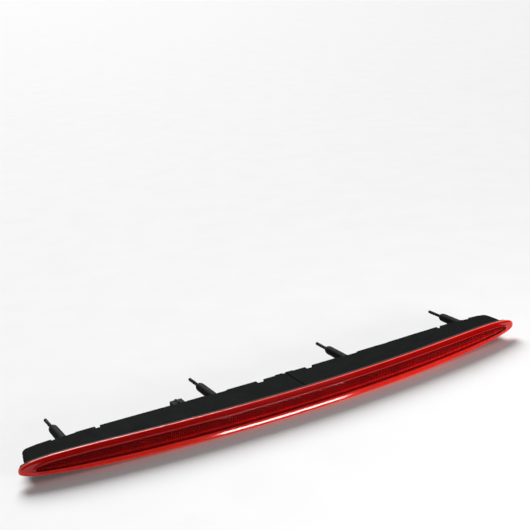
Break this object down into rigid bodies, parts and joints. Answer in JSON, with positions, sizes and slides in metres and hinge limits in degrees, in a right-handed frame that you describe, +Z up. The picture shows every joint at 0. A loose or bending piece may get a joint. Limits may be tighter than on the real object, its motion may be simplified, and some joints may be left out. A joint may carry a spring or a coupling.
{
  "type": "third brake light",
  "caption": "Long slim bowed centre high-mounted brake lamp with a red lens over an LED strip, a deep black housing and mounting studs on its back.",
  "frame": {"origin": "centre of the flat locating pad on the middle of the housing's rear wall", "axes": "+X along the lamp, +Y backwards out of the rear wall along the studs, +Z up; the lens faces -Y"},
  "size_m": [0.825, 0.1666, 0.038],
  "materials": {
    "lens_red": "gloss, transparent red acrylic",
    "optic_red": "gloss, fluted red acrylic",
    "housing_black": "fine-grained black ABS",
    "sleeve_black": "satin black moulded plastic",
    "carrier_grey": "satin dark grey plastic",
    "gasket_rubber": "closed-cell foam rubber",
    "board_green": "satin solder mask",
    "led_clear": "clear epoxy over a red die",
    "stud_steel": "black oxide",
    "screw_steel": "zinc plated",
    "terminal_tin": "tin plated",
    "component_black": "moulded component body",
    "wire_red": "satin PVC",
    "wire_black": "satin PVC"
  },
  "bodies": {
    "root": {"outer_lens": "lens_red", "inner_optic": "optic_red", "housing": "housing_black", "body_gasket": "gasket_rubber", "led_carrier": "carrier_grey", "connector_socket": "sleeve_black", "socket_seal": "gasket_rubber", "breather_cap": "gasket_rubber", "terminal_positive": "terminal_tin", "terminal_ground": "terminal_tin", "polarity_diode": "component_black", "feed_wire_positive": "wire_red", "feed_wire_ground": "wire_black", "circuit_board_1": "board_green", "board_resistor_1": "component_black", "mounting_stud_1": "stud_steel", "spacer_sleeve_1": "sleeve_black", "circuit_board_2": "board_green", "board_resistor_2": "component_black", "mounting_stud_2": "stud_steel", "spacer_sleeve_2": "sleeve_black", "circuit_board_3": "board_green", "board_resistor_3": "component_black", "mounting_stud_3": "stud_steel", "spacer_sleeve_3": "sleeve_black", "circuit_board_4": "board_green", "board_resistor_4": "component_black", "mounting_stud_4": "stud_steel", "spacer_sleeve_4": "sleeve_black", "board_link_1": "wire_black", "board_link_2": "wire_black", "board_link_3": "wire_black", "board_screw_1": "screw_steel", "board_screw_2": "screw_steel", "board_screw_3": "screw_steel", "board_screw_4": "screw_steel", "board_screw_5": "screw_steel", "board_screw_6": "screw_steel", "board_screw_7": "screw_steel", "board_screw_8": "screw_steel", "led_01": "led_clear", "led_02": "led_clear", "led_03": "led_clear", "led_04": "led_clear", "led_05": "led_clear", "led_06": "led_clear", "led_07": "led_clear", "led_08": "led_clear", "led_09": "led_clear", "led_10": "led_clear", "led_11": "led_clear", "led_12": "led_clear", "led_13": "led_clear", "led_14": "led_clear", "led_15": "led_clear", "led_16": "led_clear"}
  },
  "joints": []
}
